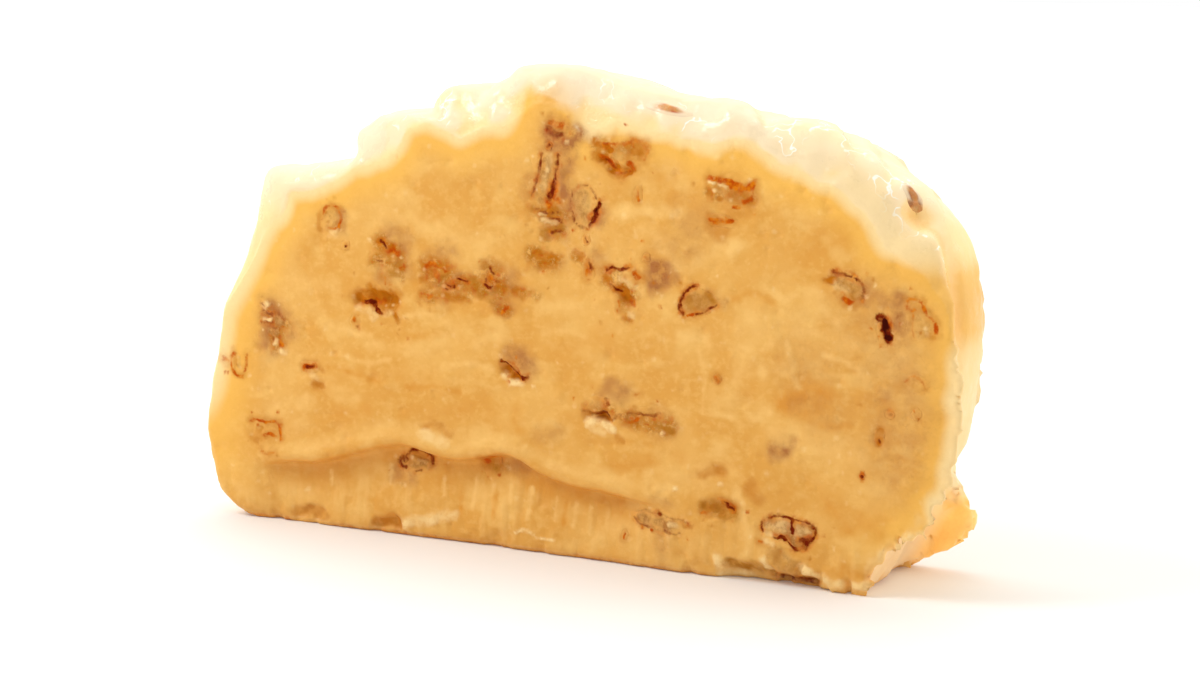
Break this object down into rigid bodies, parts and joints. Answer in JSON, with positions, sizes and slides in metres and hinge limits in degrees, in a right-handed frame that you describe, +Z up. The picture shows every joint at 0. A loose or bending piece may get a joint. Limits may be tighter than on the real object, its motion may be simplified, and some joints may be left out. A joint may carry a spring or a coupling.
{
  "type": "fudge slice",
  "caption": "Thick knife-cut slice of pale golden fudge with chopped pecans, lumpy domed top and flat base.",
  "frame": {"origin": "middle of the flat base, on the surface the slice stands on", "axes": "+X along the slice's length, +Y from the shown cut face to the back cut face, +Z up"},
  "size_m": [0.125, 0.025, 0.0721],
  "materials": {
    "fudge": "soft satin golden cream fudge, glossier and paler on the uncut outside",
    "pecan": "chopped pecan, tan flesh with thin dark red-brown skin"
  },
  "bodies": {
    "root": {"fudge": "fudge", "pecan_front_1": "pecan", "pecan_front_2": "pecan", "pecan_front_3": "pecan", "pecan_front_4": "pecan", "pecan_front_5": "pecan", "pecan_front_6": "pecan", "pecan_front_7": "pecan", "pecan_front_8": "pecan", "pecan_front_9": "pecan", "pecan_front_10": "pecan", "pecan_front_11": "pecan", "pecan_front_12": "pecan", "pecan_front_13": "pecan", "pecan_front_14": "pecan", "pecan_front_15": "pecan", "pecan_front_16": "pecan", "pecan_front_17": "pecan", "pecan_front_18": "pecan", "pecan_front_19": "pecan", "pecan_front_20": "pecan", "pecan_front_21": "pecan", "pecan_front_22": "pecan", "pecan_front_23": "pecan", "pecan_front_24": "pecan", "pecan_front_25": "pecan", "pecan_front_26": "pecan", "pecan_front_27": "pecan", "pecan_front_28": "pecan", "pecan_back_1": "pecan", "pecan_back_2": "pecan", "pecan_back_3": "pecan", "pecan_back_4": "pecan", "pecan_back_5": "pecan", "pecan_back_6": "pecan", "pecan_back_7": "pecan", "pecan_back_8": "pecan", "pecan_back_9": "pecan", "pecan_back_10": "pecan", "pecan_back_11": "pecan", "pecan_back_12": "pecan", "pecan_crown_1": "pecan", "pecan_crown_2": "pecan"}
  },
  "joints": []
}
